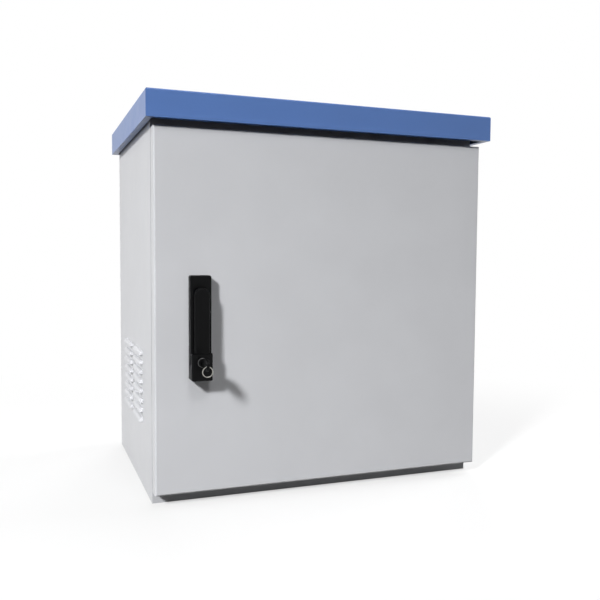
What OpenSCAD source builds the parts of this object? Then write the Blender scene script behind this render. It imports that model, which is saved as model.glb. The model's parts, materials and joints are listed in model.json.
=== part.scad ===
// Roadside utility cabinet: a welded sheet-steel body with a louvred wall on each side,
// a folded door on concealed hinges, a swing handle with a key lock, and a rain hood.
// Front is -Y, up is +Z, and the origin is the middle of the footprint on the ground.

/* [Overall] */
// Width of the body and of the door
body_w = 600; // [580:5:760]
// Depth of the body, from the front frame to the rear frame
body_d = 406; // [380:2:600]
// Height of the side walls above the ground
body_h = 640; // [600:5:800]
// Thickness of the body, door and hood sheet
sheet = 1.5; // [1.2:0.1:2]

/* [Frames] */
// Width of each upright of the front frame, from the outside of the body
jamb_w = 46.5; // [40:0.5:60]
// Height of the front frame's lower bar
sill_h = 58; // [50:1:80]
// Height of the front frame's upper bar
header_h = 62; // [50:1:80]
// Width of the rear frame's bars
rear_bar = 55; // [52:1:70]

/* [Louvres] */
// Length of one louvre, round ends included
louvre_len = 91; // [60:1:110]
// Outer radius of a louvre's hood
louvre_r = 7; // [5:0.5:8]
// Rise from one louvre to the next
louvre_pitch = 17; // [14:0.5:22]
// Number of louvres in a column
louvre_rows = 8; // [3:1:12]
// Space between the two columns
louvre_gap = 32; // [10:1:60]
// Height of the lowest louvre's open edge
louvre_low = 116; // [100:1:160]

/* [Door] */
// Depth of the door's folded edge
door_depth = 26.3; // [22:0.1:34]
// Space between the door's folded edge and the front frame
door_gap = 5; // [3:0.5:8]
// Height of the plinth strip that shows under the door
door_low = 21; // [10:1:40]
// Space between the door's top edge and the hood
door_top_gap = 9; // [5:1:20]
// Radius of the bends
bend_r = 3; // [2.5:0.5:5]
// Thickness of the foam seal
seal_t = 10; // [6:1:12]
// Width of the foam seal
seal_w = 14; // [8:1:18]

/* [Hinges] */
// Distance of the hinge axis from the door's edge
hinge_in = 8; // [7.5:0.5:11]
// Distance of the hinge axis behind the door's face
hinge_back = 15.3; // [14:0.1:17]
// Distance of each hinge from the door's nearer end
hinge_end = 100; // [60:5:160]
// Radius of the hinge pin
hinge_pin_r = 3; // [2:0.25:4]
// Height of the hinge knuckle
knuckle_h = 24; // [16:1:36]

/* [Handle] */
// Distance of the handle's middle from the door's free edge
handle_in = 72; // [68:1:100]
// Height of the handle's middle above the ground
handle_z = 293.5; // [250:0.5:400]
// Width of the handle's housing
handle_w = 34; // [30:1:40]
// Length of the handle's housing
handle_h = 169; // [160:1:190]
// How far the housing stands out of the door
housing_t = 14; // [12:0.5:18]
// Height of the turning axis above the handle's middle
pivot_up = 52.5; // [48:0.5:55]
// Depth of the lock's axis below the handle's middle
lock_down = 54.5; // [52:0.5:58]
// Width of the lever
lever_w = 25; // [22:1:28]
// Thickness of the lever
lever_t = 10; // [9:0.5:14]
// Length of the lever below its turning axis
lever_len = 94; // [90:0.5:95]
// Radius of the lock plug
plug_r = 6.5; // [5:0.25:7]
// Reach of the cam from the turning axis
cam_len = 46; // [42:1:56]

/* [Hood] */
// Height of the hood's edge
hood_h = 44; // [30:1:70]
// How far the hood hangs below the top of the body
hood_drop = 17; // [10:1:25]
// Overhang at each side
hood_side = 13.7; // [10:0.1:30]
// Overhang past the door's face
hood_front = 14; // [5:0.5:40]
// Width of the return lip along the hood's lower edge
hood_lip = 11; // [6:0.5:12]

/* [Rear panel] */
// How far the rear panel stands off the body
rear_stand = 13.5; // [8:0.5:25]
// Height of the rear panel's lower edge
rear_low = 21; // [10:1:30]

/* [Rack] */
// Number of rack units
rack_units = 12; // [6:1:12]
// Clear width between the rails
rack_clear = 450; // [440:1:450]
// Width of a rail's front flange
rail_w = 25; // [22:1:30]
// Depth of a rail's side flange
rail_d = 30; // [20:1:40]
// Thickness of the rails and depth bars
rail_t = 2; // [1.5:0.25:2.5]
// Distance of the rails from the front and rear frames
rail_set = 52; // [45:1:80]
// Height of a depth bar
bar_h = 30; // [20:1:40]

/* [Base] */
// Distance of the anchor holes from the sides
anchor_in_x = 50; // [35:1:70]
// Distance of the anchor holes from the front and the rear
anchor_in_y = 53; // [40:1:80]
// Radius of the anchor holes
anchor_r = 6.5; // [5:0.25:7]
// Width of the cable opening
gland_w = 300; // [200:5:320]
// Depth of the cable opening
gland_d = 110; // [80:5:140]

/* [Hidden] */
$fn = 48;
eps = 0.01;
cut_over = 1;

// Colours
GREY = [0.80, 0.81, 0.82];
BLUE = [0.30, 0.44, 0.70];
BLACK = [0.08, 0.08, 0.09];
ZINC = [0.72, 0.73, 0.75];
RUBBER = [0.12, 0.12, 0.12];
BRASS = [0.80, 0.62, 0.30];

// Fits
run_play = 0.05;
bolt_play = 0.25;
seal_gap = 0.3;
part_gap = 0.5;
thread_over = 2;

// Pan heads, as shares of the shank's radius and of the head's height
pan_head = 2;
pan_rim = 0.6;
pan_crown = 0.65;

// Louvres
louvre_sink = sheet / 3;
louvre_half = louvre_len / 2 - louvre_r;
louvre_open = 0.85;
louvre_slot_h = (louvre_r - sheet) * louvre_open;

// Body planes
side_x = body_w / 2;
wall_x = side_x - sheet;
front_y = -body_d / 2;
rear_y = body_d / 2;
open_x = side_x - jamb_w;
open_z0 = sill_h;
open_z1 = body_h - header_h;

// Hood planes
hood_z0 = body_h - hood_drop;
hood_z1 = hood_z0 + hood_h;
hood_x = side_x + hood_side;

// Door planes
door_back = front_y - door_gap;
door_face = door_back - door_depth;
door_in = door_face + sheet;
door_z0 = door_low;
door_z1 = hood_z0 - door_top_gap;
lip_front = door_in + seal_t + seal_gap;
hood_y0 = door_face - hood_front;

// Rear panel planes
rear_face = rear_y + rear_stand;
rear_z0 = rear_low;
rear_gap = 7;
rear_edge = 1;
rear_z1 = hood_z0 - rear_gap;
hood_y1 = rear_face;

// Hinges
hinge_x = side_x - hinge_in;
hinge_y = door_face + hinge_back;
hinge_zs = [door_z0 + hinge_end, door_z1 - hinge_end];
knuckle_r = hinge_in - sheet - part_gap;
hinge_plate_t = 3;
hinge_plate_h = 50;
hinge_plate_in = 9;
hinge_plate_lap = 4;
hinge_plate_x0 = open_x + hinge_plate_in;
hinge_plate_x1 = hinge_x + hinge_plate_lap;
hinge_arm_t = 4;
hinge_screw_r = 2.4;
hinge_screw_head_h = 3;
hinge_screw_tail = 6;
hinge_screw_z = 18;
hinge_screw_in = 8;
hinge_screw_x = hinge_plate_x0 + hinge_screw_in;
notch_play = 5;
notch_h = hinge_plate_h + 2 * notch_play;
notch_front = hinge_y - knuckle_r;
ear_t = 3;
ear_gap = 0.3;
ear_w = 18;
leaf_t = 2;
leaf_w = 30;
leaf_x1 = side_x - bend_r - part_gap;
leaf_lap = 6;
leaf_h = knuckle_h + 2 * (ear_gap + ear_t + leaf_lap);
pin_head_lap = 1.5;
pin_head_r = hinge_pin_r + pin_head_lap;
pin_head_t = 2;
pin_tail = 1;

// Handle planes
handle_x = handle_in - side_x;
handle_z0 = handle_z - handle_h / 2;
handle_z1 = handle_z + handle_h / 2;
pivot_z = handle_z + pivot_up;
lock_z = handle_z - lock_down;
gasket_t = 1;
housing_face = door_face - gasket_t - housing_t;
lever_back = housing_face - part_gap;
lever_face = lever_back - lever_t;
block_r = lever_len + part_gap;
boss_w = 23;
boss_h = 146;
boss_r = 3;
boss_depth = 12;
boss_back = door_in + boss_depth;
cut_play = 0.5;
housing_r = 3;
housing_edge_r = 2.5;
grip_w = 5;
grip_h = 15;
grip_deep = 2.5;
grip_up = 4;
grip_out = 2;

// Hub and cam
hub_r = 8;
hub_head_r = 10.5;
hub_head_t = 3;
spindle_r = 6;
hub_shoulder = 1;
clip_t = 1.2;
clip_play = 0.3;
clip_y = boss_back + clip_play;
clip_mouth = 5;
clip_r = 11;
clip_groove = 1;
square_w = 8;
square_play = 0.05;
cam_t = 3;
cam_w = 20;
cam_tip_r = 5;
cam_gap = 1;
cam_y0 = front_y + sheet + cam_gap;
cam_screw_r = 2.5;
cam_screw_len = 10;
cam_screw_head_r = 4.6;
cam_screw_head_h = 3.5;
cam_washer_r = 8;
cam_washer_t = 1.2;

// Lever
lift_up = lever_w / 2 - lever_t / 2;
lift_z = pivot_z + lift_up;
lift_y = lever_back - lever_t / 2;
tongue_w = 8;
tongue_r = 3;
tongue_play = 0.3;
tongue_foot = 2;
lever_pin_r = 1.5;
lever_skin = lever_t / 2 - tongue_r - tongue_play;
lever_edge_r = 3;
lever_pin_in = 1;
slot_down = 11;
slot_z0 = pivot_z - slot_down;

// Lock and key
barrel_wall = 1.5;
barrel_r = plug_r + barrel_wall;
barrel_tail = 4;
barrel_back = boss_back + barrel_tail;
barrel_proud = 1;
plug_proud = 1.5;
plug_face = lever_face - plug_proud;
plug_len = 24;
plug_back = plug_face + plug_len;
key_t = 2;
key_blade_h = 5;
key_blade_len = 18;
key_neck = 12;
key_neck_h = 8;
key_bits = 5;
key_bit_in = 3;
key_bit_pitch = 3;
key_bit_deep = 2;
key_bit_shallow = 1.2;
key_play = 0.2;
key_tip_play = 1;
key_bow_t = 4.4;
key_bow_r = 9.5;
key_bow_in = 8;
key_bow_y = plug_face - key_neck - key_bow_in;
key_bow_len = 9;
key_bow_end = key_bow_y - key_bow_len;
key_hole_r = 3;
key_hole_out = 4.5;
key_hole_y = key_bow_end - key_hole_out;
key_hole_z = lock_z;
ring_r = 8;
ring_wire = 0.7;
ring_play = 0.6;
ring_drop = key_hole_r - ring_wire - ring_play;
ring_top = key_hole_z - ring_drop;

// Clamp behind the door
clamp_t = 2;
clamp_w = 36;
clamp_h = 150;
clamp_r = 3;
clamp_clip_play = 2;
clamp_screw_low = 28;
clamp_screw_high = 22;
clamp_screw_z = [handle_z - clamp_screw_low, handle_z + clamp_screw_high];
clamp_screw_r = 2;
clamp_screw_len = 9;
clamp_screw_head_h = 2.5;

// Stiffeners
stiff_in = 130;
stiff_x = side_x - stiff_in;
stiff_w = 34;
stiff_d = 16;
stiff_foot = 9;
stiff_t = 1.2;
stiff_end = 60;
stiff_z0 = door_z0 + stiff_end;
stiff_z1 = door_z1 - stiff_end;
stiff_hole_r = 5;
stiff_pitch = 40;

// Rack
unit_h = 44.45;
unit_holes = [6.35, 22.225, 38.1];
rail_hole = 9.5;
rail_hole_in = 7.55;
rail_len = rack_units * unit_h;
rail_z0 = (body_h - rail_len) / 2;
rail_x = rack_clear / 2;
rail_out = rail_x + rail_w;
rail_ys = [front_y + rail_set, rear_y - rail_set];
bar_end = 10;
bar_y = body_d / 2 - sheet - bar_end;
bar_set = 14;
bar_zs = [rail_z0 + bar_set, rail_z0 + rail_len - bar_set - bar_h];
rail_bolt_r = 3;
rail_bolt_len = 12;
rail_bolt_head_r = 5.5;
rail_bolt_head_h = 4;

// Base
floor_flange = 20;
gland_lap = 16;
gland_t = 2;
gland_seal_t = 1.5;
gland_y = 70;
gland_screw_r = 2.4;
gland_screw_in = 8;
gland_screw_head_h = 3;
gland_screw_up = 0.3;
gland_corner_r = 6;
gland_plate_r = 8;
stud_r = 4;
stud_h = 26;
stud_in = 38;
stud_x = stud_in - side_x;
stud_y = -60;
nut_h = 6.5;
nut_r = 7.5;
stud_washer_t = 1.6;
stud_washer_r = 8;

// Top and hood fixings
top_flange = 22;
vent_len = 60;
vent_w = 6;
vent_rows = 6;
vent_pitch = 14;
spacer_r = 8;
spacer_in_x = 60;
spacer_in_y = 60;
hood_bolt_r = 4;
hood_bolt_len = 16;
hood_bolt_head_r = 7.5;
hood_bolt_head_h = 5.3;

// Rear screws
rear_screw_r = 2.5;
rear_screw_cols = [-1, 0, 1];
rear_screw_in = 20;
rear_screw_head_h = 3;

// Flat shape with four round corners, centred
module round_rect(w, h, r) {
    square([w - 2 * r, h], center = true);
    square([w, h - 2 * r], center = true);
    for (x = [-1, 1], y = [-1, 1]) {
        translate([x * (w / 2 - r), y * (h / 2 - r)]) circle(r);
    }
}

// Flat shape from y = 0 to y = d whose two corners at y = 0 are round
module bent_edge(w, d, r) {
    intersection() {
        translate([0, d]) round_rect(w, 2 * d, r);
        translate([-w / 2, 0]) square([w, d]);
    }
}

// Slab between two X planes, drawn in Y and Z
module slab_x(x0, x1) {
    translate([x0, 0, 0]) rotate([90, 0, 90]) linear_extrude(x1 - x0) children();
}

// Slab between two Y planes, drawn in X and Z
module slab_y(y0, y1) {
    translate([0, y1, 0]) rotate([90, 0, 0]) linear_extrude(y1 - y0) children();
}

// Slab between two Z planes, drawn in X and Y
module slab_z(z0, z1) {
    translate([0, 0, z0]) linear_extrude(z1 - z0) children();
}

// Slab between two X planes on the right, s = 1, or on the left, s = -1, drawn in Y and Z
module side_slab(s, x0, x1) {
    mirror([s < 0 ? 1 : 0, 0, 0]) slab_x(x0, x1) children();
}

// Rectangle between two corners
module rect(x0, y0, x1, y1) {
    translate([x0, y0]) square([x1 - x0, y1 - y0]);
}

// Round bar along Y
module bar_y_axis(x, z, y0, y1, r) {
    slab_y(y0, y1) translate([x, z]) circle(r);
}

// Block with round bends on the four long edges of its face at z = 0, open to z = d
module bent_block(w, h, d, r) {
    intersection() {
        rotate([90, 0, 0]) linear_extrude(h, center = true) bent_edge(w, d, r);
        rotate([90, 0, 90]) linear_extrude(w, center = true) bent_edge(h, d, r);
    }
}

// Folded tray with its face at z = 0 and its edges standing up to z = d
module folded_tray(w, h, d) {
    difference() {
        bent_block(w, h, d, bend_r);
        translate([0, 0, sheet]) bent_block(w - 2 * sheet, h - 2 * sheet, d, bend_r - sheet);
    }
}

// Pan-head screw with its seat at z = 0 and its shank going down
module pan_screw(shank_r, head_h, len) {
    head_r = pan_head * shank_r;
    rim_h = pan_rim * head_h;
    cylinder(h = rim_h, r = head_r);
    translate([0, 0, rim_h - eps])
        cylinder(h = head_h - rim_h + eps, r1 = head_r, r2 = pan_crown * head_r);
    translate([0, 0, -len]) cylinder(h = len + eps, r = shank_r);
}

// Hexagon bolt with its seat at z = 0 and its shank going down
module hex_bolt(head_r, head_h, shank_r, len) {
    cylinder(h = head_h, r = head_r, $fn = 6);
    translate([0, 0, -len]) cylinder(h = len + eps, r = shank_r);
}

// Section of one louvre hood: a quarter ring, X outwards and Y up
module louvre_section() {
    intersection() {
        difference() {
            circle(louvre_r);
            circle(louvre_r - sheet);
        }
        square(louvre_r);
    }
}

// One pressed louvre on a wall that faces -X, open at the bottom, centred on Y
module louvre() {
    translate([louvre_sink, 0, 0]) {
        translate([0, louvre_half, 0]) rotate([90, 0, 0]) linear_extrude(2 * louvre_half)
            mirror([1, 0]) louvre_section();
        translate([0, louvre_half, 0]) rotate([0, 0, 90]) rotate_extrude(angle = 90) louvre_section();
        translate([0, -louvre_half, 0]) rotate([0, 0, 180]) rotate_extrude(angle = 90) louvre_section();
    }
}

// Side wall with its pressed louvres, facing -X
module side_wall() {
    louvre_y = (louvre_gap + louvre_len) / 2;
    difference() {
        slab_x(-side_x, -wall_x) rect(front_y, 0, rear_y, body_h);
        for (c = [-1, 1], n = [0 : louvre_rows - 1]) {
            translate([0, c * louvre_y, louvre_low + n * louvre_pitch])
                slab_x(-side_x - eps, -wall_x + eps)
                    rect(-louvre_half, 0, louvre_half, louvre_slot_h);
        }
    }
    for (c = [-1, 1], n = [0 : louvre_rows - 1]) {
        translate([-side_x, c * louvre_y, louvre_low + n * louvre_pitch]) louvre();
    }
}

module left_side_panel() {
    color(GREY) side_wall();
}

module right_side_panel() {
    color(GREY) mirror([1, 0, 0]) side_wall();
}

// Floor with an upturned edge against each side wall
module base_tray() {
    color(GREY) difference() {
        union() {
            slab_z(0, sheet) rect(-wall_x, front_y + sheet, wall_x, rear_y - sheet);
            for (s = [-1, 1]) {
                side_slab(s, wall_x - sheet, wall_x)
                    rect(front_y + sheet, 0, rear_y - sheet, floor_flange);
            }
        }
        for (x = [-1, 1], y = [-1, 1]) {
            translate([x * (side_x - anchor_in_x), y * (body_d / 2 - anchor_in_y), -eps])
                cylinder(h = sheet + 2 * eps, r = anchor_r);
        }
        slab_z(-eps, sheet + eps) translate([0, gland_y]) round_rect(gland_w, gland_d, gland_corner_r);
        for (p = gland_screw_places()) {
            translate([p[0], p[1], -eps]) cylinder(h = sheet + 2 * eps, r = gland_screw_r + bolt_play);
        }
        translate([stud_x, stud_y, -eps]) cylinder(h = sheet + 2 * eps, r = stud_r + run_play);
    }
}

// Sheet on top of the frames, with a downturned edge against each side wall and vent slots
module top_panel() {
    color(GREY) difference() {
        union() {
            slab_z(body_h - sheet, body_h) rect(-wall_x, front_y, wall_x, rear_y);
            for (s = [-1, 1]) {
                side_slab(s, wall_x - sheet, wall_x)
                    rect(front_y + sheet, body_h - top_flange, rear_y - sheet, body_h - sheet + eps);
            }
        }
        for (c = [-1, 1], n = [0 : vent_rows - 1]) {
            slab_z(body_h - sheet - eps, body_h + eps)
                translate([c * vent_len, (n - (vent_rows - 1) / 2) * vent_pitch])
                    round_rect(vent_len, vent_w, vent_w / 2 - eps);
        }
        for (p = spacer_places()) {
            translate([p[0], p[1], body_h - sheet - eps])
                cylinder(h = sheet + 2 * eps, r = hood_bolt_r + bolt_play);
        }
    }
}

// Ring round the door opening, with a lip that stands forward into the door seal
module front_frame() {
    color(GREY) {
        slab_y(front_y, front_y + sheet) difference() {
            rect(-wall_x, 0, wall_x, body_h - sheet);
            rect(-open_x, open_z0, open_x, open_z1);
            for (z = hinge_zs, s = [-1, 1]) {
                translate([hinge_screw_x, z + s * hinge_screw_z]) circle(hinge_screw_r + bolt_play);
            }
        }
        slab_y(lip_front, front_y + eps) difference() {
            rect(-open_x - sheet, open_z0 - sheet, open_x + sheet, open_z1 + sheet);
            rect(-open_x, open_z0, open_x, open_z1);
        }
    }
}

// Ring that takes the rear panel's screws
module rear_frame() {
    color(GREY) slab_y(rear_y - sheet, rear_y) difference() {
        rect(-wall_x, 0, wall_x, body_h - sheet);
        rect(-side_x + rear_bar, rear_bar, side_x - rear_bar, body_h - rear_bar);
        for (p = rear_screw_places()) {
            translate(p) circle(rear_screw_r + bolt_play);
        }
    }
}

// Removable rear panel, a shallow tray that stands off the body
module rear_panel() {
    mid_z = (rear_z0 + rear_z1) / 2;
    color(GREY) difference() {
        translate([0, rear_face, mid_z]) rotate([90, 0, 0])
            folded_tray(body_w - 2 * rear_edge, rear_z1 - rear_z0, rear_stand);
        for (p = rear_screw_places()) {
            bar_y_axis(p[0], p[1], rear_face - sheet - eps, rear_face + eps, rear_screw_r + bolt_play);
        }
    }
}

function rear_screw_places() = [
    for (c = rear_screw_cols, z = [rear_z0 + rear_screw_in, rear_z1 - rear_screw_in])
        [c * (side_x - rear_screw_in), z],
];

module rear_panel_screws() {
    color(ZINC) for (p = rear_screw_places()) {
        translate([p[0], rear_face, p[1]]) rotate([-90, 0, 0])
            pan_screw(rear_screw_r, rear_screw_head_h, rear_stand + 2 * sheet);
    }
}

// Rain hood: a folded tray with a return lip along its lower edge
module roof_hood() {
    hood_d = hood_y1 - hood_y0;
    mid_y = (hood_y0 + hood_y1) / 2;
    color(BLUE) {
        translate([0, mid_y, hood_z1]) mirror([0, 0, 1]) folded_tray(2 * hood_x, hood_d, hood_h);
        slab_z(hood_z0, hood_z0 + sheet) translate([0, mid_y]) difference() {
            square([2 * hood_x - sheet, hood_d - sheet], center = true);
            square([2 * (hood_x - hood_lip), hood_d - 2 * hood_lip], center = true);
        }
    }
}

function spacer_places() = [
    for (x = [-1, 1], y = [-1, 1])
        [x * (side_x - spacer_in_x), y * (body_d / 2 - spacer_in_y)],
];

// Threaded standoffs between the top panel and the hood
module hood_spacers() {
    color(ZINC) for (p = spacer_places()) {
        translate([p[0], p[1], body_h]) difference() {
            cylinder(h = hood_z1 - sheet - body_h, r = spacer_r);
            translate([0, 0, -eps]) cylinder(h = hood_bolt_len + thread_over, r = hood_bolt_r + run_play);
        }
    }
}

module hood_bolts() {
    color(ZINC) for (p = spacer_places()) {
        translate([p[0], p[1], body_h - sheet]) rotate([180, 0, 0])
            hex_bolt(hood_bolt_head_r, hood_bolt_head_h, hood_bolt_r, hood_bolt_len);
    }
}

function gland_screw_places() = [
    for (x = [-1, 0, 1], y = [-1, 1])
        [x * (gland_w / 2 + gland_screw_in), gland_y + y * (gland_d / 2 + gland_screw_in)],
];

// Outline of the blank plate over the cable opening, with its screw holes
module gland_outline() {
    difference() {
        translate([0, gland_y]) round_rect(gland_w + 2 * gland_lap, gland_d + 2 * gland_lap, gland_plate_r);
        for (p = gland_screw_places()) {
            translate(p) circle(gland_screw_r + bolt_play);
        }
    }
}

module gland_gasket() {
    color(RUBBER) slab_z(sheet, sheet + gland_seal_t) difference() {
        gland_outline();
        translate([0, gland_y]) round_rect(gland_w, gland_d, gland_corner_r);
    }
}

module gland_plate() {
    color(ZINC) slab_z(sheet + gland_seal_t, sheet + gland_seal_t + gland_t) gland_outline();
}

module gland_screws() {
    seat = sheet + gland_seal_t + gland_t;
    color(ZINC) for (p = gland_screw_places()) {
        translate([p[0], p[1], seat]) pan_screw(gland_screw_r, gland_screw_head_h, seat - gland_screw_up);
    }
}

// Rack rail for the +X side, its face at y = 0 and its side flange going back
module rail() {
    hole_x = rail_x + rail_hole_in;
    slab_y(0, rail_t) difference() {
        rect(rail_x, rail_z0, rail_out, rail_z0 + rail_len);
        for (u = [0 : rack_units - 1], h = unit_holes) {
            translate([hole_x, rail_z0 + u * unit_h + h]) square(rail_hole, center = true);
        }
    }
    difference() {
        slab_x(rail_out - rail_t, rail_out) rect(0, rail_z0, rail_d, rail_z0 + rail_len);
        for (z = bar_zs) {
            translate([rail_out - rail_t - eps, rail_d / 2 + rail_t, z + bar_h / 2]) rotate([0, 90, 0])
                cylinder(h = rail_t + 2 * eps, r = rail_bolt_r + bolt_play);
        }
    }
}

// Rail at one corner of the rack: side is -1 or 1, row is 0 at the front and 1 at the rear
module placed_rail(side, row) {
    color(ZINC) translate([0, rail_ys[row], 0])
        mirror([side < 0 ? 1 : 0, 0, 0]) mirror([0, row, 0]) rail();
}

module rail_front_left() { placed_rail(-1, 0); }
module rail_front_right() { placed_rail(1, 0); }
module rail_rear_left() { placed_rail(-1, 1); }
module rail_rear_right() { placed_rail(1, 1); }

// Channel along the side wall that carries the rails, for the +X side
module depth_bar(z) {
    difference() {
        slab_y(-bar_y, bar_y) difference() {
            rect(rail_out, z, wall_x, z + bar_h);
            rect(rail_out + rail_t, z + rail_t, wall_x - rail_t, z + bar_h + eps);
        }
        for (row = [0, 1]) {
            translate([rail_out - eps, rail_bolt_y(row), z + bar_h / 2]) rotate([0, 90, 0])
                cylinder(h = rail_t + 2 * eps, r = rail_bolt_r + bolt_play);
        }
    }
}

function rail_bolt_y(row) = rail_ys[row] + (row == 0 ? 1 : -1) * (rail_d / 2 + rail_t);

module depth_bar_lower_left() { color(ZINC) mirror([1, 0, 0]) depth_bar(bar_zs[0]); }
module depth_bar_lower_right() { color(ZINC) depth_bar(bar_zs[0]); }
module depth_bar_upper_left() { color(ZINC) mirror([1, 0, 0]) depth_bar(bar_zs[1]); }
module depth_bar_upper_right() { color(ZINC) depth_bar(bar_zs[1]); }

module rail_bolts() {
    color(ZINC) for (side = [-1, 1], row = [0, 1], z = bar_zs) {
        translate([side * (rail_out - rail_t), rail_bolt_y(row), z + bar_h / 2])
            rotate([0, -side * 90, 0])
                hex_bolt(rail_bolt_head_r, rail_bolt_head_h, rail_bolt_r, rail_bolt_len);
    }
}

module earth_stud() {
    color(BRASS) translate([stud_x, stud_y, 0]) {
        cylinder(h = stud_h, r = stud_r);
        translate([0, 0, sheet]) cylinder(h = stud_washer_t, r = stud_washer_r);
    }
}

module earth_nut() {
    color(BRASS) translate([stud_x, stud_y, sheet + stud_washer_t]) difference() {
        cylinder(h = nut_h, r = nut_r, $fn = 6);
        translate([0, 0, -eps]) cylinder(h = nut_h + 2 * eps, r = stud_r + run_play);
    }
}

// Hinge half on the frame: plate, arm and knuckle
module hinge_bracket(z) {
    plate_y = front_y - hinge_plate_t;
    color(ZINC) translate([0, 0, z]) difference() {
        union() {
            slab_y(plate_y, front_y)
                rect(hinge_plate_x0, -hinge_plate_h / 2, hinge_plate_x1, hinge_plate_h / 2);
            slab_z(-knuckle_h / 2, knuckle_h / 2) {
                rect(hinge_x - knuckle_r, hinge_y, hinge_x - knuckle_r + hinge_arm_t, front_y - eps);
                translate([hinge_x, hinge_y]) circle(knuckle_r);
            }
        }
        translate([hinge_x, hinge_y, -knuckle_h / 2 - eps])
            cylinder(h = knuckle_h + 2 * eps, r = hinge_pin_r + run_play);
        for (s = [-1, 1]) {
            bar_y_axis(hinge_screw_x, s * hinge_screw_z, plate_y - eps, front_y + eps,
                hinge_screw_r + bolt_play);
        }
    }
}

module lower_hinge_bracket() { hinge_bracket(hinge_zs[0]); }
module upper_hinge_bracket() { hinge_bracket(hinge_zs[1]); }

module hinge_screws() {
    color(ZINC) for (z = hinge_zs, s = [-1, 1]) {
        translate([hinge_screw_x, front_y - hinge_plate_t, z + s * hinge_screw_z]) rotate([90, 0, 0])
            pan_screw(hinge_screw_r, hinge_screw_head_h, hinge_plate_t + sheet + hinge_screw_tail);
    }
}

// Hinge half on the door: plate on the inside of the face and two ears for the pin
module hinge_leaf(z) {
    ear_z0 = knuckle_h / 2 + ear_gap;
    color(ZINC) translate([0, 0, z]) difference() {
        union() {
            slab_y(door_in, door_in + leaf_t)
                rect(hinge_x - leaf_w, -leaf_h / 2, leaf_x1, leaf_h / 2);
            for (s = [-1, 1]) {
                mirror([0, 0, s < 0 ? 1 : 0]) slab_z(ear_z0, ear_z0 + ear_t) {
                    rect(leaf_x1 - ear_w, door_in + eps, leaf_x1, door_in + bend_r);
                    rect(hinge_x + knuckle_r - ear_w, door_in + bend_r, hinge_x + knuckle_r, hinge_y);
                    translate([hinge_x, hinge_y]) circle(knuckle_r);
                }
            }
        }
        translate([hinge_x, hinge_y, -leaf_h]) cylinder(h = 2 * leaf_h, r = hinge_pin_r + run_play / 2);
    }
}

module lower_hinge_leaf() { hinge_leaf(hinge_zs[0]); }
module upper_hinge_leaf() { hinge_leaf(hinge_zs[1]); }

module hinge_pins() {
    half = knuckle_h / 2 + ear_gap + ear_t;
    color(ZINC) for (z = hinge_zs) {
        translate([hinge_x, hinge_y, z]) {
            translate([0, 0, -half - pin_tail]) cylinder(h = 2 * half + pin_tail + eps, r = hinge_pin_r);
            translate([0, 0, half]) cylinder(h = pin_head_t, r = pin_head_r);
        }
    }
}

// Opening in the door for the handle's boss
module handle_cutout() {
    translate([handle_x, handle_z]) round_rect(boss_w + 2 * cut_play, boss_h + 2 * cut_play, boss_r);
}

// Folded door with a notch in its hinge edge at each hinge
module door_skin() {
    mid_z = (door_z0 + door_z1) / 2;
    color(GREY) difference() {
        translate([0, door_face, mid_z]) rotate([-90, 0, 0])
            folded_tray(body_w, door_z1 - door_z0, door_depth);
        slab_y(door_face - eps, door_in + eps) handle_cutout();
        for (z = hinge_zs) {
            slab_x(hinge_x + knuckle_r, side_x + eps)
                rect(notch_front, z - notch_h / 2, door_back + eps, z + notch_h / 2);
        }
    }
}

// Hat-section stiffener on the inside of the door, with lightening holes
module door_stiffener(x) {
    rows = floor((stiff_z1 - stiff_z0 - stiff_pitch) / stiff_pitch);
    color(ZINC) translate([x, door_in, 0]) difference() {
        slab_z(stiff_z0, stiff_z1) {
            for (s = [-1, 1]) {
                translate([s * (stiff_w + stiff_foot) / 2, stiff_t / 2])
                    square([stiff_foot, stiff_t], center = true);
                translate([s * (stiff_w - stiff_t) / 2, stiff_d / 2])
                    square([stiff_t, stiff_d], center = true);
            }
            translate([0, stiff_d - stiff_t / 2]) square([stiff_w, stiff_t], center = true);
        }
        for (n = [0 : rows]) {
            bar_y_axis(0, stiff_z0 + stiff_pitch / 2 + n * stiff_pitch,
                stiff_d - stiff_t - cut_over, stiff_d + cut_over, stiff_hole_r);
        }
    }
}

module door_stiffener_left() { door_stiffener(-stiff_x); }
module door_stiffener_right() { door_stiffener(stiff_x); }

// Foam ring on the inside of the door, opposite the frame's lip
module door_seal() {
    lip_mid = sheet / 2;
    seal_x = open_x + lip_mid;
    seal_z0 = open_z0 - lip_mid;
    seal_z1 = open_z1 + lip_mid;
    color(RUBBER) slab_y(door_in, door_in + seal_t) difference() {
        rect(-seal_x - seal_w / 2, seal_z0 - seal_w / 2, seal_x + seal_w / 2, seal_z1 + seal_w / 2);
        rect(-seal_x + seal_w / 2, seal_z0 + seal_w / 2, seal_x - seal_w / 2, seal_z1 - seal_w / 2);
    }
}

// Side view of the housing, Y and Z: the base, and the lock block that stands as proud as the lever
module housing_side() {
    r = housing_edge_r;
    depth = 2 * (door_face - gasket_t - lever_face);
    low = 2 * (door_face - gasket_t - housing_face);
    translate([door_face - gasket_t, handle_z]) intersection() {
        round_rect(low, handle_h, r);
        rect(-low, -handle_h, 0, handle_h);
    }
    translate([door_face - gasket_t, handle_z]) intersection() {
        round_rect(depth, handle_h, r);
        rect(-depth, -handle_h, 0, pivot_up);
    }
}

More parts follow.
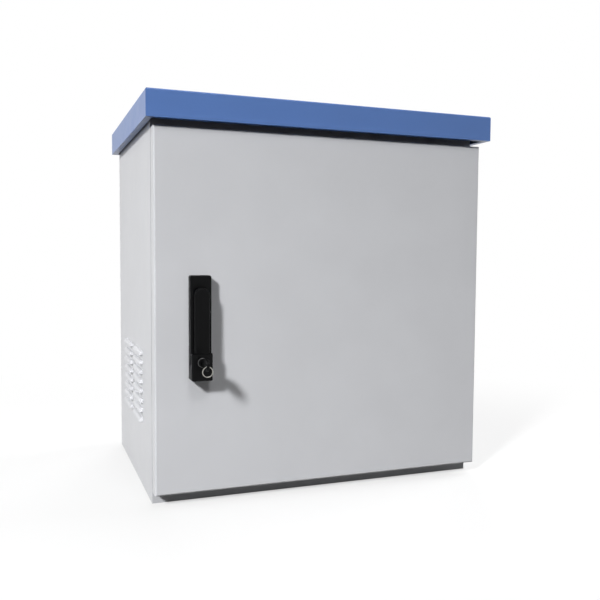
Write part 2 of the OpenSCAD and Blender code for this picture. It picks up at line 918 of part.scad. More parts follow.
// Surround of the swing handle: base, lock block with a hollow edge and a grip slot in each side,
// and a boss through the door
module handle_housing() {
    back = door_face - gasket_t;
    deep = back - lever_face;
    color(BLACK) difference() {
        union() {
            intersection() {
                slab_y(lever_face, back) translate([handle_x, handle_z])
                    round_rect(handle_w, handle_h, housing_r);
                slab_x(handle_x - handle_w, handle_x + handle_w) housing_side();
                slab_z(handle_z0, handle_z1) translate([handle_x, lever_face])
                    bent_edge(handle_w, deep, housing_edge_r);
            }
            slab_y(back - eps, boss_back) translate([handle_x, handle_z])
                round_rect(boss_w, boss_h, boss_r);
        }
        bar_y_axis(handle_x, pivot_z, lever_face - cut_over, housing_face, block_r);
        bar_y_axis(handle_x, pivot_z, housing_face - eps, boss_back + eps, hub_r + run_play);
        bar_y_axis(handle_x, pivot_z, housing_face - eps, housing_face + hub_head_t + part_gap,
            hub_head_r + part_gap);
        bar_y_axis(handle_x, lock_z, lever_face - cut_over, boss_back + cut_over, barrel_r);
        for (s = [-1, 1]) {
            slab_x(handle_x + s * handle_w / 2 - grip_deep, handle_x + s * handle_w / 2 + grip_deep)
                translate([housing_face - grip_out, lock_z + grip_up])
                    round_rect(grip_w, grip_h, grip_w / 2 - eps);
        }
        for (z = clamp_screw_z) {
            bar_y_axis(handle_x, z, boss_back - clamp_screw_len - thread_over, boss_back + eps,
                clamp_screw_r + run_play);
        }
    }
}

module handle_gasket() {
    color(RUBBER) slab_y(door_face - gasket_t, door_face) difference() {
        translate([handle_x, handle_z]) round_rect(handle_w, handle_h, housing_r);
        handle_cutout();
    }
}

// Plate behind the door that draws the housing tight
module handle_clamp() {
    color(ZINC) slab_y(boss_back, boss_back + clamp_t) difference() {
        translate([handle_x, handle_z]) round_rect(clamp_w, clamp_h, clamp_r);
        translate([handle_x, pivot_z]) circle(clip_r + clamp_clip_play);
        translate([handle_x, lock_z]) circle(barrel_r + part_gap);
        for (z = clamp_screw_z) {
            translate([handle_x, z]) circle(clamp_screw_r + bolt_play);
        }
    }
    color(ZINC) slab_y(door_in, boss_back + eps) translate([handle_x, handle_z]) difference() {
        round_rect(clamp_w, clamp_h, clamp_r);
        square([clamp_w - 2 * clamp_t, clamp_h + 2 * cut_over], center = true);
    }
}

module clamp_screws() {
    color(ZINC) for (z = clamp_screw_z) {
        translate([handle_x, boss_back + clamp_t, z]) rotate([-90, 0, 0])
            pan_screw(clamp_screw_r, clamp_screw_head_h, clamp_t + clamp_screw_len);
    }
}

// Turning hub: head in the housing, spindle through the door, square for the cam, tongue for the lever
module handle_hub() {
    head_y = housing_face;
    color(ZINC) difference() {
        union() {
            bar_y_axis(handle_x, pivot_z, head_y, head_y + hub_head_t, hub_head_r);
            bar_y_axis(handle_x, pivot_z, head_y + hub_head_t - eps, clip_y + clip_t + hub_shoulder, hub_r);
            bar_y_axis(handle_x, pivot_z, clip_y + clip_t, cam_y0, spindle_r);
            slab_y(cam_y0 - eps, cam_y0 + cam_t) translate([handle_x, pivot_z])
                square(square_w, center = true);
            slab_x(handle_x - tongue_w / 2, handle_x + tongue_w / 2) {
                rect(lift_y - tongue_r, slot_z0 + tongue_foot, head_y + eps, lift_z);
                rect(lift_y, slot_z0 + tongue_foot, head_y + eps, lift_z + tongue_r);
                translate([lift_y, lift_z]) circle(tongue_r);
            }
        }
        difference() {
            bar_y_axis(handle_x, pivot_z, clip_y, clip_y + clip_t, hub_r + cut_over);
            bar_y_axis(handle_x, pivot_z, clip_y - cut_over, clip_y + clip_t + cut_over,
                hub_r - clip_groove);
        }
        translate([handle_x - tongue_w, lift_y, lift_z]) rotate([0, 90, 0])
            cylinder(h = 2 * tongue_w, r = lever_pin_r + run_play);
        bar_y_axis(handle_x, pivot_z, cam_y0 + cam_t - cam_screw_len, cam_y0 + cam_t + eps,
            cam_screw_r + run_play);
    }
}

// Spring clip behind the boss
module hub_clip() {
    color(ZINC) slab_y(clip_y, clip_y + clip_t) translate([handle_x, pivot_z]) difference() {
        circle(clip_r);
        circle(hub_r - clip_groove + run_play);
        translate([-clip_mouth / 2, 0]) square([clip_mouth, clip_r + cut_over]);
    }
}

// Latch tongue on the square; it turns with the lever behind the frame's upright
module cam() {
    color(ZINC) slab_y(cam_y0, cam_y0 + cam_t) translate([handle_x, pivot_z]) difference() {
        union() {
            circle(cam_w / 2);
            translate([-cam_w / 2, 0]) square([cam_w, cam_len - cam_tip_r]);
            translate([0, cam_len - cam_w / 2]) round_rect(cam_w, cam_w, cam_tip_r);
        }
        square(square_w + 2 * square_play, center = true);
    }
}

module cam_washer() {
    color(ZINC) slab_y(cam_y0 + cam_t, cam_y0 + cam_t + cam_washer_t)
        translate([handle_x, pivot_z]) difference() {
            circle(cam_washer_r);
            circle(cam_screw_r + bolt_play);
        }
}

module cam_screw() {
    color(ZINC) translate([handle_x, cam_y0 + cam_t + cam_washer_t, pivot_z]) rotate([-90, 0, 0])
        hex_bolt(cam_screw_head_r, cam_screw_head_h, cam_screw_r, cam_screw_len);
}

// Section of the lever, X across and Y back from its face: round front edges and a flat back
module lever_section() {
    bent_edge(lever_w, lever_t, lever_edge_r);
}

// Bar with the lever's section, its top end turned about the turning axis
module lever_bar() {
    slab_z(pivot_z - lever_len - cut_over, pivot_z) translate([handle_x, lever_face]) lever_section();
    translate([handle_x, lever_face, pivot_z]) rotate([-90, 0, 0]) rotate([0, 0, 180])
        rotate_extrude(angle = 180) intersection() {
            lever_section();
            square([lever_w, lever_t]);
        }
}

// Side view of the lever, Y and Z: the back of its top is round about the lift pin, so that it can lift
module lever_side() {
    low = pivot_z - lever_len - cut_over;
    translate([lift_y, lift_z]) circle(lever_t / 2);
    rect(lever_face - cut_over, low, lift_y, handle_z1);
    rect(lift_y - eps, low, lever_back + cut_over, lift_z);
}

// Swing lever, hollowed at the back for the hub's tongue
module lever() {
    color(BLACK) difference() {
        intersection() {
            lever_bar();
            slab_x(handle_x - lever_w, handle_x + lever_w) lever_side();
            bar_y_axis(handle_x, pivot_z, lever_face - cut_over, lever_back + cut_over, lever_len);
        }
        slab_x(handle_x - tongue_w / 2 - tongue_play, handle_x + tongue_w / 2 + tongue_play)
            rect(lever_face + lever_skin, slot_z0, lever_back + eps, handle_z1);
        translate([handle_x - lever_w, lift_y, lift_z]) rotate([0, 90, 0])
            cylinder(h = 2 * lever_w, r = lever_pin_r + run_play / 2);
    }
}

module lever_pin() {
    half = sqrt(pow(lever_w / 2, 2) - pow(lift_up, 2)) - lever_pin_in;
    color(ZINC) translate([handle_x - half, lift_y, lift_z]) rotate([0, 90, 0])
        cylinder(h = 2 * half, r = lever_pin_r);
}

// Fixed sleeve of the lock, with a bevelled rim
module lock_barrel() {
    color(BLACK) difference() {
        union() {
            bar_y_axis(handle_x, lock_z, lever_face, barrel_back, barrel_r);
            translate([handle_x, lever_face, lock_z]) rotate([90, 0, 0])
                cylinder(h = barrel_proud, r1 = barrel_r, r2 = barrel_r - barrel_proud);
        }
        bar_y_axis(handle_x, lock_z, lever_face - 2 * cut_over, plug_back + part_gap, plug_r + run_play);
    }
}

// Turning plug with the key's slot
module lock_plug() {
    color(BLACK) difference() {
        bar_y_axis(handle_x, lock_z, plug_face, plug_back, plug_r);
        slab_y(plug_face - eps, plug_face + key_blade_len + key_tip_play) translate([handle_x, lock_z])
            square([key_t + key_play, key_blade_h + key_play], center = true);
    }
}

// Side view of the moulded bow, Y and Z: long oval with a hole, on a neck that ends at the plug
module bow_side() {
    difference() {
        union() {
            translate([key_bow_y, lock_z]) circle(key_bow_r);
            rect(key_bow_end, lock_z - key_bow_r, key_bow_y, lock_z + key_bow_r);
            translate([key_bow_end, lock_z]) circle(key_bow_r);
            rect(key_bow_y, lock_z - key_neck_h / 2, plug_face - key_play, lock_z + key_neck_h / 2);
        }
        translate([key_hole_y, key_hole_z]) circle(key_hole_r);
    }
}

// Side view of the blade, Y and Z: bar with bits, which runs into the bow
module blade_side() {
    edge_z = lock_z - key_blade_h / 2;
    difference() {
        rect(key_bow_y, edge_z, plug_face + key_blade_len, edge_z + key_blade_h);
        for (n = [0 : key_bits - 1]) {
            translate([plug_face + key_bit_in + n * key_bit_pitch, edge_z]) rotate(45)
                square(n % 2 == 0 ? key_bit_deep : key_bit_shallow, center = true);
        }
    }
}

// Key standing upright in the plug: flat blade in a moulded bow
module key() {
    color(BLACK) union() {
        slab_x(handle_x - key_t / 2, handle_x + key_t / 2) blade_side();
        slab_x(handle_x - key_bow_t / 2, handle_x + key_bow_t / 2) bow_side();
    }
}

// Wire ring that hangs in the key's hole
module key_ring() {
    color(ZINC) translate([handle_x, key_hole_y, ring_top - ring_r]) rotate([90, 0, 0])
        rotate_extrude() translate([ring_r, 0]) circle(ring_wire, $fn = 24);
}

base_tray();
left_side_panel();
right_side_panel();
front_frame();
rear_frame();
top_panel();
rear_panel();
rear_panel_screws();
roof_hood();
hood_spacers();
hood_bolts();
gland_plate();
gland_gasket();
gland_screws();
rail_front_left();
rail_front_right();
rail_rear_left();
rail_rear_right();
depth_bar_lower_left();
depth_bar_lower_right();
depth_bar_upper_left();
depth_bar_upper_right();
rail_bolts();
earth_stud();
earth_nut();
upper_hinge_bracket();
lower_hinge_bracket();
hinge_screws();
door_skin();
door_stiffener_left();
door_stiffener_right();
door_seal();
upper_hinge_leaf();
lower_hinge_leaf();
hinge_pins();
handle_housing();
handle_gasket();
handle_clamp();
clamp_screws();
lock_barrel();
handle_hub();
hub_clip();
cam();
cam_washer();
cam_screw();
lever();
lever_pin();
lock_plug();
key();
key_ring();
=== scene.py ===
"""Looks of a roadside utility cabinet: painted sheet steel, a blue rain hood, a swing handle and a lock."""
import json
import logging
import math
from abc import ABC, abstractmethod
from dataclasses import dataclass, field
from enum import Enum

import bmesh
import bpy
from mathutils import Matrix, Vector

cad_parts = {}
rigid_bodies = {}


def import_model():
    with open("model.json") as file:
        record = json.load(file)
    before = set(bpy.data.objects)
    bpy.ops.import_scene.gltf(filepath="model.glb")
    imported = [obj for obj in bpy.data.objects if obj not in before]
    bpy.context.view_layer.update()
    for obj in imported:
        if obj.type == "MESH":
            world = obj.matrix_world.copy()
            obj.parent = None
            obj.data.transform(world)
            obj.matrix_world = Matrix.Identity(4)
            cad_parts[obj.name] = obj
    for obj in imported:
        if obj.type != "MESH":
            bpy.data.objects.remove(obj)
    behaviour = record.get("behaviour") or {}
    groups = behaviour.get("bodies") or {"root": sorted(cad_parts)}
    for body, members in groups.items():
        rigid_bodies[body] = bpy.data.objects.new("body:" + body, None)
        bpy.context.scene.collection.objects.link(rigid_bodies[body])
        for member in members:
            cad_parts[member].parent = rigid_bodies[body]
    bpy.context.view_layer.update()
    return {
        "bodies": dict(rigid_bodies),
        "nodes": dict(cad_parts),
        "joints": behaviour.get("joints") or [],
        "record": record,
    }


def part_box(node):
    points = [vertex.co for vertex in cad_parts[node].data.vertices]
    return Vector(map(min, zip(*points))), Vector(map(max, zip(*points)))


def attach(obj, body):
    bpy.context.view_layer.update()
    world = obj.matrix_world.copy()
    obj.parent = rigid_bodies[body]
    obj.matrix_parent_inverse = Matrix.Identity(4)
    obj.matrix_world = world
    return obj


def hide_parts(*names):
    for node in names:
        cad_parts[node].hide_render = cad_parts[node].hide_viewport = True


LOG = logging.getLogger("cabinet")
MM = 0.001
MERGE = 1e-6  # metres within which two corners are one
FLAT = 0.4  # degrees up to which neighbouring triangles are one face
NOISE_LOW, NOISE_HIGH = 0.3, 0.7  # between these lie most of a noise's values
AXIS = "axis"  # the attribute of a point that says which way its fastener points
UP = Vector((0.0, 0.0, 1.0))
BACK = Vector((0.0, 1.0, 0.0))
UNTURNED = (0.0, 0.0, 0.0)
FACING_FRONT = (math.pi / 2, 0.0, 0.0)  # turns a shape made flat on the floor towards the door side
LEVEL = 90.0  # degrees that a camera tilts up from looking straight down to looking level
Triple = tuple[float, float, float]
Colour = Triple
Place = Triple
Corners = tuple[Vector, Vector]
Socket = bpy.types.NodeSocket


class Body(Enum):
    """The rigid bodies of the cabinet, by their names in the frame."""

    CABINET = "cabinet"
    DOOR = "door"
    TURNER = "handle_turner"
    LEVER = "lever_arm"
    LOCK = "lock_core"
    LOOP = "key_loop"


class Slot(Enum):
    """The record's material slots."""

    GREY = "grey_paint"
    BLUE = "blue_paint"
    ZINC = "zinc_steel"
    HANDLE = "black_handle"
    RUBBER = "black_rubber"
    NICKEL = "bright_nickel"
    BRASS = "earth_brass"


class Detail(Enum):
    """How many finer layers a noise has."""

    PLAIN = 1.0
    SOFT = 2.0
    CLOUDY = 3.0
    FINE = 4.0
    FINEST = 5.0


class Tree:
    """A node tree, with short calls for its nodes and links."""

    def __init__(self, tree: bpy.types.NodeTree) -> None:
        """Take a tree and empty it."""
        self.tree = tree
        self.tree.nodes.clear()

    def link(self, start: Socket, end: Socket) -> None:
        """Join two sockets."""
        self.tree.links.new(start, end)

    def node(self, kind: str, inputs: dict | None = None, **settings: str) -> bpy.types.Node:
        """Add a node with linked or fixed inputs.

        Args:
            kind: the node's type.
            inputs: socket names or numbers, with a socket or a value for each.
            settings: the node's own properties.

        Returns:
            The new node.
        """
        node = self.tree.nodes.new(kind)
        for name, value in settings.items():
            setattr(node, name, value)
        for name, value in (inputs or {}).items():
            if isinstance(value, Socket):
                self.link(value, node.inputs[name])
            else:
                node.inputs[name].default_value = value
        return node

    def result(self, kind: str, inputs: dict | None = None, **settings: str) -> Socket:
        """Add a node in the same way and give its first output."""
        return self.node(kind, inputs, **settings).outputs[0]

    def sum(self, first: Socket, second: Socket | float, operation: str = "MULTIPLY") -> Socket:
        """Work out a number from two others."""
        return self.result("ShaderNodeMath", {0: first, 1: second}, operation=operation)


class Graph(Tree):
    """A material's node tree, with short calls for what the finishes share."""

    def __init__(self, name: str) -> None:
        """Start a material with a principled shader.

        Args:
            name: the material's name.
        """
        self.material = bpy.data.materials.new(name)
        self.material.use_nodes = True
        super().__init__(self.material.node_tree)
        self.output = self.node("ShaderNodeOutputMaterial")
        self.shader = self.node("ShaderNodeBsdfPrincipled")
        self.link(self.shader.outputs["BSDF"], self.output.inputs["Surface"])
        self.place = self.node("ShaderNodeTexCoord").outputs["Object"]

    def constant(self, **values: float) -> None:
        """Set sockets of the shader that are the same all over, by name with underscores for spaces."""
        for name, value in values.items():
            self.shader.inputs[name.replace("_", " ")].default_value = value

    def stretched(self, scale: Triple) -> Socket:
        """Give the object coordinates, scaled along each axis."""
        return self.result("ShaderNodeMapping", {"Vector": self.place, "Scale": scale})

    def noise(self, size: float, detail: Detail = Detail.SOFT, place: Socket | None = None) -> Socket:
        """Add a noise with features of about one size.

        Args:
            size: the size of a feature in metres.
            detail: the finer layers.
            place: the coordinates, or the plain object coordinates.

        Returns:
            The noise's value, from 0 to 1.
        """
        inputs = {"Scale": 1.0 / size, "Detail": detail.value, "Vector": place or self.place}
        return self.node("ShaderNodeTexNoise", inputs).outputs["Fac"]

    def spread(self, value: Socket, low: float, high: float) -> Socket:
        """Map the middle of a noise onto a range of numbers.

        Args:
            value: a noise value.
            low: the number at the noise's low end.
            high: the number at its high end.

        Returns:
            The mapped value.
        """
        ends = {"From Min": NOISE_LOW, "From Max": NOISE_HIGH, "To Min": low, "To Max": high}
        return self.node("ShaderNodeMapRange", {"Value": value, **ends}).outputs["Result"]

    def coloured(self, share: Socket, low: Colour, high: Colour) -> None:
        """Colour the shader with a mix of two colours.

        Args:
            share: how much of the second colour shows.
            low: the first colour.
            high: the second colour.
        """
        node = self.node("ShaderNodeMix", {"Factor": share}, data_type="RGBA")
        sockets = [s for s in node.inputs if s.type == "RGBA"]
        sockets[0].default_value = (*low, 1.0)
        sockets[1].default_value = (*high, 1.0)
        mixed = next(s for s in node.outputs if s.type == "RGBA")
        self.link(mixed, self.shader.inputs["Base Color"])

    def toned(self, share: Socket, colour: Colour, dark: float, light: float) -> None:
        """Colour the shader with a darker and a lighter tone of a colour.

        Args:
            share: how much of the lighter tone shows.
            colour: the colour.
            dark: the factor of the darker tone.
            light: the factor of the lighter tone.
        """
        low, high = (tuple(min(1.0, c * factor) for c in colour) for factor in (dark, light))
        self.coloured(share, low, high)

    def clouds(self, size: float, detail: Detail) -> Socket:
        """Give clouds of a size that run from 0 to 1."""
        return self.spread(self.noise(size, detail), 0.0, 1.0)

    def glossed(self, value: Socket, roughness: float, below: float, above: float) -> None:
        """Give the shader a roughness that plays round a number.

        Args:
            value: the noise that it follows.
            roughness: the number.
            below: how far it falls.
            above: how far it rises.
        """
        self.link(self.spread(value, roughness - below, roughness + above), self.shader.inputs["Roughness"])

    def relief(self, height: Socket, depth: float, strength: float) -> None:
        """Bump the shader, on top of any bump that is there.

        Args:
            height: the value that gives the height.
            depth: the depth of the relief in metres.
            strength: how much of it shows.
        """
        node = self.node("ShaderNodeBump", {"Distance": depth, "Strength": strength, "Height": height})
        before = self.shader.inputs["Normal"]
        if before.is_linked:
            self.link(before.links[0].from_socket, node.inputs["Normal"])
        self.link(node.outputs["Normal"], before)


@dataclass(frozen=True)
class PowderCoat:
    """Gloss powder paint on sheet steel, with the fine orange peel of a baked coat."""

    name: str
    colour: Colour
    roughness: float = 0.34
    gloss_play: float = 0.025
    ior: float = 1.5
    cloud: float = 0.11
    cloud_share: float = 0.02
    streak_share: float = 0.25
    peel: float = 0.0016
    peel_depth: float = 0.00005
    peel_strength: float = 0.35
    wave_ratio: float = 12.0
    wave_strength: float = 0.12

    def material(self) -> bpy.types.Material:
        """Build the paint's material."""
        graph = Graph(self.name)
        graph.constant(IOR=self.ior, Metallic=0.0)
        clouds = graph.clouds(self.cloud, Detail.CLOUDY)
        graph.toned(clouds, self.colour, 1 - self.cloud_share, 1 + self.cloud_share)
        streaks = graph.noise(self.cloud * self.streak_share, Detail.FINE)
        graph.glossed(streaks, self.roughness, self.gloss_play, self.gloss_play)
        graph.relief(graph.noise(self.peel, Detail.PLAIN), self.peel_depth, self.peel_strength)
        wave_depth = self.peel_depth * self.wave_ratio
        graph.relief(graph.noise(self.cloud, Detail.PLAIN), wave_depth, self.wave_strength)
        return graph.material


@dataclass(frozen=True)
class ZincPlate:
    """Bright zinc plating, with the faint spangle and drawn grain of plated sheet."""

    name: str
    colour: Colour
    roughness: float = 0.36
    gloss_size: float = 0.004
    gloss_play: float = 0.08
    spangle: float = 0.007
    dark_share: float = 0.9
    light_share: float = 1.06
    grain: float = 0.0007
    grain_depth: float = 0.00003
    grain_strength: float = 0.3

    def material(self) -> bpy.types.Material:
        """Build the plating's material."""
        graph = Graph(self.name)
        graph.constant(Metallic=1.0)
        cells = graph.node("ShaderNodeTexVoronoi", {"Scale": 1.0 / self.spangle, "Vector": graph.place})
        tone = graph.node("ShaderNodeSeparateColor", {"Color": cells.outputs["Color"]})
        graph.toned(tone.outputs["Red"], self.colour, self.dark_share, self.light_share)
        streaks = graph.noise(self.gloss_size, Detail.FINE)
        graph.glossed(streaks, self.roughness, self.gloss_play, self.gloss_play)
        graph.relief(graph.noise(self.grain), self.grain_depth, self.grain_strength)
        return graph.material


@dataclass(frozen=True)
class SatinBlack:
    """Black satin coat on a die casting, with a fine eroded texture."""

    name: str
    colour: Colour
    roughness: float = 0.42
    gloss_size: float = 0.009
    gloss_play: float = 0.07
    ior: float = 1.46
    sheen: float = 0.12
    cloud: float = 0.012
    dark_share: float = 0.8
    light_share: float = 1.25
    grain: float = 0.0006
    grain_depth: float = 0.00006
    grain_strength: float = 0.5

    def material(self) -> bpy.types.Material:
        """Build the coat's material."""
        graph = Graph(self.name)
        graph.constant(IOR=self.ior, Metallic=0.0, Specular_IOR_Level=self.sheen)
        clouds = graph.clouds(self.cloud, Detail.FINE)
        graph.toned(clouds, self.colour, self.dark_share, self.light_share)
        streaks = graph.noise(self.gloss_size, Detail.FINE)
        graph.glossed(streaks, self.roughness, self.gloss_play, self.gloss_play)
        graph.relief(graph.noise(self.grain), self.grain_depth, self.grain_strength)
        return graph.material


@dataclass(frozen=True)
class BrightMetal:
    """Polished plating or brass, with fine handling scratches."""

    name: str
    colour: Colour
    roughness: float
    gloss_below: float = 0.06
    gloss_above: float = 0.14
    cloud: float = 0.003
    dark_share: float = 0.88
    scratch: float = 0.004
    scratch_scale: Triple = (1.0, 18.0, 1.0)
    scratch_depth: float = 0.00002
    scratch_strength: float = 0.25

    def material(self) -> bpy.types.Material:
        """Build the metal's material."""
        graph = Graph(self.name)
        graph.constant(Metallic=1.0)
        graph.toned(graph.clouds(self.cloud, Detail.CLOUDY), self.colour, self.dark_share, 1.0)
        scratches = graph.noise(self.scratch, Detail.FINEST, graph.stretched(self.scratch_scale))
        graph.glossed(scratches, self.roughness, self.gloss_below, self.gloss_above)
        graph.relief(scratches, self.scratch_depth, self.scratch_strength)
        return graph.material


@dataclass(frozen=True)
class SoftRubber:
    """Black cellular rubber, dull and slightly dusty."""

    name: str
    colour: Colour
    roughness: float = 0.82
    gloss_size: float = 0.006
    gloss_play: float = 0.08
    ior: float = 1.5
    cloud: float = 0.02
    light_share: float = 1.6
    cell: float = 0.0011
    cell_depth: float = 0.00012
    cell_strength: float = 0.6

    def material(self) -> bpy.types.Material:
        """Build the rubber's material."""
        graph = Graph(self.name)
        graph.constant(IOR=self.ior, Metallic=0.0)
        graph.toned(graph.clouds(self.cloud, Detail.FINE), self.colour, 1.0, self.light_share)
        streaks = graph.noise(self.gloss_size, Detail.CLOUDY)
        graph.glossed(streaks, self.roughness, self.gloss_play, self.gloss_play)
        graph.relief(graph.noise(self.cell), self.cell_depth, self.cell_strength)
        return graph.material


Finish = PowderCoat | ZincPlate | SatinBlack | BrightMetal | SoftRubber

FINISHES: dict[Slot, Finish] = {
    Slot.GREY: PowderCoat("grey_powder_coat", (0.598, 0.606, 0.632)),
    Slot.BLUE: PowderCoat("blue_powder_coat", (0.080, 0.172, 0.44), roughness=0.33),
    Slot.ZINC: ZincPlate("zinc_plate", (0.66, 0.67, 0.69)),
    Slot.HANDLE: SatinBlack("black_satin_coat", (0.0014, 0.0015, 0.0018)),
    Slot.RUBBER: SoftRubber("black_seal_rubber", (0.016, 0.016, 0.016)),
    Slot.NICKEL: BrightMetal("bright_nickel", (0.42, 0.41, 0.38), roughness=0.36),
    Slot.BRASS: BrightMetal("plain_brass", (0.80, 0.60, 0.28), roughness=0.35),
}
LOCK_FINISH = SatinBlack(
    "black_polished_lock", (0.012, 0.012, 0.013), roughness=0.2, sheen=0.9, grain=1.5 * MM)


class Wardrobe:
    """The materials of the cabinet, one for each slot, made once."""

    def __init__(self) -> None:
        """Build every finish."""
        self.materials = {slot: finish.material() for slot, finish in FINISHES.items()}

    def dress(self, piece: bpy.types.Object, slot: Slot) -> None:
        """Give a piece the finish of a slot.

        Args:
            piece: a mesh object.
            slot: the slot whose finish it takes.
        """
        piece.data.materials.clear()
        piece.data.materials.append(self.materials[slot])


@dataclass
class Workshop:
    """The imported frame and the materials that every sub-assembly works with."""

    frame: dict
    wardrobe: Wardrobe

    def node(self, name: str) -> bpy.types.Object:
        """Give a CAD node by name."""
        return self.frame["nodes"][name]


def added(name: str, data: bpy.types.ID) -> bpy.types.Object:
    """Put an object in the scene.

    Args:
        name: the object's name.
        data: its mesh, light or camera.

    Returns:
        The object.
    """
    thing = bpy.data.objects.new(name, data)
    bpy.context.scene.collection.objects.link(thing)
    return thing


def dots(name: str, places: list[Vector | Place]) -> bpy.types.Mesh:
    """Make a mesh of points, where a recipe puts what it makes.

    Args:
        name: the mesh's name.
        places: where the points are.

    Returns:
        The mesh.
    """
    mesh = bpy.data.meshes.new(name)
    mesh.from_pydata(places, [], [])
    return mesh


def plain(source: bpy.types.Object) -> bpy.types.Mesh:
    """Keep what an object's modifiers make of it as a plain mesh, and remove the object.

    Args:
        source: an object with modifiers.

    Returns:
        The mesh.
    """
    graph = bpy.context.evaluated_depsgraph_get()
    mesh = bpy.data.meshes.new_from_object(source.evaluated_get(graph), depsgraph=graph)
    source.modifiers.clear()
    bpy.data.objects.remove(source)
    return mesh


def shown(name: str, mesh: bpy.types.Mesh, crease: float) -> bpy.types.Object:
    """Put a mesh in the scene, smooth up to a crease.

    Args:
        name: the piece's name.
        mesh: its mesh, in place.
        crease: the angle in degrees past which an edge stays sharp.

    Returns:
        The piece.
    """
    mesh.name = name
    mesh.shade_smooth()
    mesh.set_sharp_from_angle(angle=math.radians(crease))
    return added(name, mesh)


class Recipe(Tree):
    """A geometry node tree, with short calls for its sizes and shapes."""

    crease: float = 35.0

    def __init__(self, name: str) -> None:
        """Start a tree that takes places as points and gives a mesh.

        Args:
            name: the tree's name.
        """
        super().__init__(bpy.data.node_groups.new(name, "GeometryNodeTree"))
        for way in ("INPUT", "OUTPUT"):
            self.tree.interface.new_socket("Geometry", in_out=way, socket_type="NodeSocketGeometry")
        self.entry = self.node("NodeGroupInput")
        self.exit = self.node("NodeGroupOutput")

    def size(self, name: str, kind: str = "NodeSocketFloat") -> Socket:
        """Add a named input and give its socket."""
        self.tree.interface.new_socket(name, in_out="INPUT", socket_type=kind)
        return self.entry.outputs[name]

    def sizes(self, *names: str) -> list[Socket]:
        """Add a named number for each name and give their sockets."""
        return [self.size(name) for name in names]

    def vector(self, **parts: Socket | float) -> Socket:
        """Join numbers along X, Y and Z into a vector."""
        return self.result("ShaderNodeCombineXYZ", parts)

    def lifted(self, mesh: Socket, height: Socket) -> Socket:
        """Move a mesh up by a height."""
        place = self.vector(Z=height)
        return self.result("GeometryNodeTransform", {"Geometry": mesh, "Translation": place})

    def scaled(self, shape: Socket, scale: Socket) -> Socket:
        """Scale a mesh or a curve along each axis."""
        return self.result("GeometryNodeTransform", {"Geometry": shape, "Scale": scale})

    def boolean(self, operation: str, meshes: list[Socket], base: Socket | None = None) -> Socket:
        """Weld, intersect or cut closed meshes.

        Args:
            operation: UNION, INTERSECT or DIFFERENCE.
            meshes: the meshes to work with.
            base: the mesh that a difference is cut from.

        Returns:
            The resulting shell.
        """
        node = self.node("GeometryNodeMeshBoolean", operation=operation, solver="EXACT")
        if base:
            self.link(base, node.inputs[0])
        for mesh in meshes:
            self.link(mesh, node.inputs[1])
        return node.outputs[0]

    def cylinder(self, sides: int, radius: Socket, bottom: Socket | float, top: Socket) -> Socket:
        """Make an upright cylinder or prism between two heights.

        Args:
            sides: the number of its sides.
            radius: its radius to the corners.
            bottom: the height of its lower end.
            top: the height of its upper end.

        Returns:
            The mesh.
        """
        depth = self.sum(top, bottom, "SUBTRACT")
        sizes = {"Vertices": sides, "Radius": radius, "Depth": depth}
        middle = self.sum(self.sum(top, bottom, "ADD"), 0.5)
        return self.lifted(self.result("GeometryNodeMeshCylinder", sizes), middle)

    def circle(self, sides: int, radius: Socket | float = 1.0) -> Socket:
        """Make a round section."""
        return self.result("GeometryNodeCurvePrimitiveCircle", {"Resolution": sides, "Radius": radius})

    def helix(self, steps: int) -> Socket:
        """Make a helix with named inputs for its radius, height and turns.

        Args:
            steps: the number of points in a turn.

        Returns:
            The curve.
        """
        radius, height, turns = self.sizes("Radius", "Height", "Turns")
        return self.result("GeometryNodeCurveSpiral", {
            "Resolution": steps, "Rotations": turns, "Start Radius": radius, "End Radius": radius,
            "Height": height})

    def upright(self, line: Socket) -> Socket:
        """Keep the sections along a line upright."""
        return self.result("GeometryNodeSetCurveNormal", {"Curve": line}, mode="Z_UP")

    def swept(self, line: Socket, section: Socket, caps: bool = True) -> Socket:
        """Sweep a section along a line.

        Args:
            line: the curve to follow.
            section: the curve of the section.
            caps: whether the ends are closed.

        Returns:
            The mesh.
        """
        return self.result("GeometryNodeCurveToMesh", {
            "Curve": line, "Profile Curve": section, "Fill Caps": caps})

    def on_points(self, mesh: Socket, rotation: Socket | Triple = UNTURNED) -> Socket:
        """Stand a mesh on every point.

        Args:
            mesh: the mesh.
            rotation: how it is turned there.

        Returns:
            The instances.
        """
        return self.result("GeometryNodeInstanceOnPoints", {
            "Points": self.entry.outputs["Geometry"], "Instance": mesh, "Rotation": rotation})

    def scattered(self, fastener: Socket) -> Socket:
        """Stand a fastener on every point, along the point's axis and turned at random about it.

        Args:
            fastener: the fastener's mesh, its seat at the origin and its head along Z.

        Returns:
            The instances.
        """
        seed = self.size("Seed", "NodeSocketInt")
        axis = self.result("GeometryNodeInputNamedAttribute", {"Name": AXIS}, data_type="FLOAT_VECTOR")
        spin = self.node("FunctionNodeRandomValue", {2: 0.0, 3: math.tau, "Seed": seed}, data_type="FLOAT")
        about = self.result("FunctionNodeEulerToRotation", {0: self.vector(Z=spin.outputs[1])})
        aligned = self.result("FunctionNodeAlignRotationToVector", {"Vector": axis}, axis="Z")
        turned = self.result("FunctionNodeRotateRotation", {"Rotation": aligned, "Rotate By": about},
                             rotation_space="LOCAL")
        return self.on_points(fastener, turned)

    def finished(self, mesh: Socket) -> "Recipe":
        """End the tree: real meshes with their finish.

        Args:
            mesh: the instances to give out.

        Returns:
            The recipe itself.
        """
        finish = self.size("Finish", "NodeSocketMaterial")
        real = self.result("GeometryNodeRealizeInstances", {"Geometry": mesh})
        dressed = self.result("GeometryNodeSetMaterial", {"Geometry": real, "Material": finish})
        self.link(dressed, self.exit.inputs[0])
        return self

